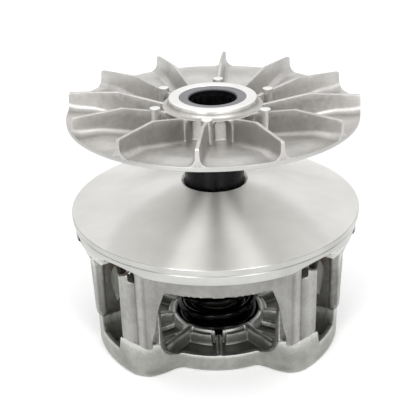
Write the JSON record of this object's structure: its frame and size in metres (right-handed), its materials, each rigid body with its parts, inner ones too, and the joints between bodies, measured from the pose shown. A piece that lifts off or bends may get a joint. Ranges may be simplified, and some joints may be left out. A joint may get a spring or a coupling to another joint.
{
  "type": "variator primary pulley",
  "caption": "Belt-drive variator primary pulley: finned fixed sheave on a shaft, sliding sheave on towers with flyweights, spider, spring and end cover.",
  "frame": {"origin": "centre of the end cover's outer face, on the shaft's axis, where the pulley stands", "axes": "+Z along the shaft towards the fixed sheave's fan and the crankshaft; the tower pairs lie at 90, 210 and 330 degrees from +X"},
  "size_m": [0.2, 0.2, 0.1796],
  "materials": {
    "cast_light": "machined casting, satin",
    "cast_grey": "machined casting, satin",
    "cast_cover": "sand-blasted die casting",
    "cast_dark": "as-cast, dull",
    "ground_steel": "ground and nitrided",
    "washer_steel": "ground",
    "black_steel": "black oxide, satin",
    "bearing_steel": "ground",
    "nut_steel": "black oxide",
    "pin_steel": "ground",
    "button_polymer": "moulded polymer",
    "roller_polymer": "moulded polymer",
    "bronze": "sintered bronze",
    "bearing_polymer": "lined bearing",
    "spring_black": "gloss black",
    "screw_steel": "black zinc",
    "zinc_wire": "zinc plated",
    "weight_steel": "ground",
    "rivet_steel": "upset"
  },
  "bodies": {
    "fixed_half": {"fixed_sheave": "cast_light", "shaft": "ground_steel", "upper_thrust_washer": "washer_steel", "lower_thrust_washer": "washer_steel", "spider": "cast_dark", "spider_nut": "nut_steel", "roller_pins": "pin_steel", "slide_buttons": "button_polymer", "primary_spring": "spring_black"},
    "idler": {"idler_sleeve": "black_steel", "needle_bearings": "bearing_steel"},
    "spider_roller_1": {"roller_1": "roller_polymer", "roller_bush_1": "bronze"},
    "spider_roller_2": {"roller_2": "roller_polymer", "roller_bush_2": "bronze"},
    "spider_roller_3": {"roller_3": "roller_polymer", "roller_bush_3": "bronze"},
    "moving_half": {"moving_sheave": "cast_grey", "sheave_bushing": "bearing_polymer", "cover": "cast_cover", "cover_bushing": "bearing_polymer", "cover_screws": "screw_steel", "pivot_pins": "pin_steel", "pivot_spacers": "bronze", "cotter_pins": "zinc_wire"},
    "swing_weight_1": {"flyweight_1": "weight_steel", "weight_bush_1": "bronze", "weight_rivets_1": "rivet_steel"},
    "swing_weight_2": {"flyweight_2": "weight_steel", "weight_bush_2": "bronze", "weight_rivets_2": "rivet_steel"},
    "swing_weight_3": {"flyweight_3": "weight_steel", "weight_bush_3": "bronze", "weight_rivets_3": "rivet_steel"}
  },
  "joints": [
    {"name": "shift", "type": "slide", "parent": "fixed_half", "child": "moving_half", "axis": [0, 0, 1], "range_m": [0, 0.025], "stiffness_N_per_m": 8000, "springref_m": -0.03, "deforming": ["primary_spring"]},
    {"name": "idler_spin", "type": "hinge", "parent": "fixed_half", "child": "idler", "pos_m": [0, 0, 0.13], "axis": [0, 0, 1], "continuous": true},
    {"name": "roller_1_spin", "type": "hinge", "parent": "fixed_half", "child": "spider_roller_1", "pos_m": [0, 0.0685, 0.05799], "axis": [1, 0, 0], "continuous": true},
    {"name": "roller_2_spin", "type": "hinge", "parent": "fixed_half", "child": "spider_roller_2", "pos_m": [-0.05932, -0.03425, 0.05799], "axis": [-0.5, 0.866, 0], "continuous": true},
    {"name": "roller_3_spin", "type": "hinge", "parent": "fixed_half", "child": "spider_roller_3", "pos_m": [0.05932, -0.03425, 0.05799], "axis": [-0.5, -0.866, 0], "continuous": true},
    {"name": "weight_1_swing", "type": "hinge", "parent": "moving_half", "child": "swing_weight_1", "pos_m": [0, 0.0755, 0.08], "axis": [1, 0, 0], "range_deg": [0, 20.5]},
    {"name": "weight_2_swing", "type": "hinge", "parent": "moving_half", "child": "swing_weight_2", "pos_m": [-0.06538, -0.03775, 0.08], "axis": [-0.5, 0.866, 0], "range_deg": [0, 20.5]},
    {"name": "weight_3_swing", "type": "hinge", "parent": "moving_half", "child": "swing_weight_3", "pos_m": [0.06538, -0.03775, 0.08], "axis": [-0.5, -0.866, 0], "range_deg": [0, 20.5]}
  ],
  "couplings": [
    {"joint": "weight_1_swing", "follows": "shift", "rad_per_m": 13.963},
    {"joint": "weight_2_swing", "follows": "shift", "rad_per_m": 13.963},
    {"joint": "weight_3_swing", "follows": "shift", "rad_per_m": 13.963}
  ]
}
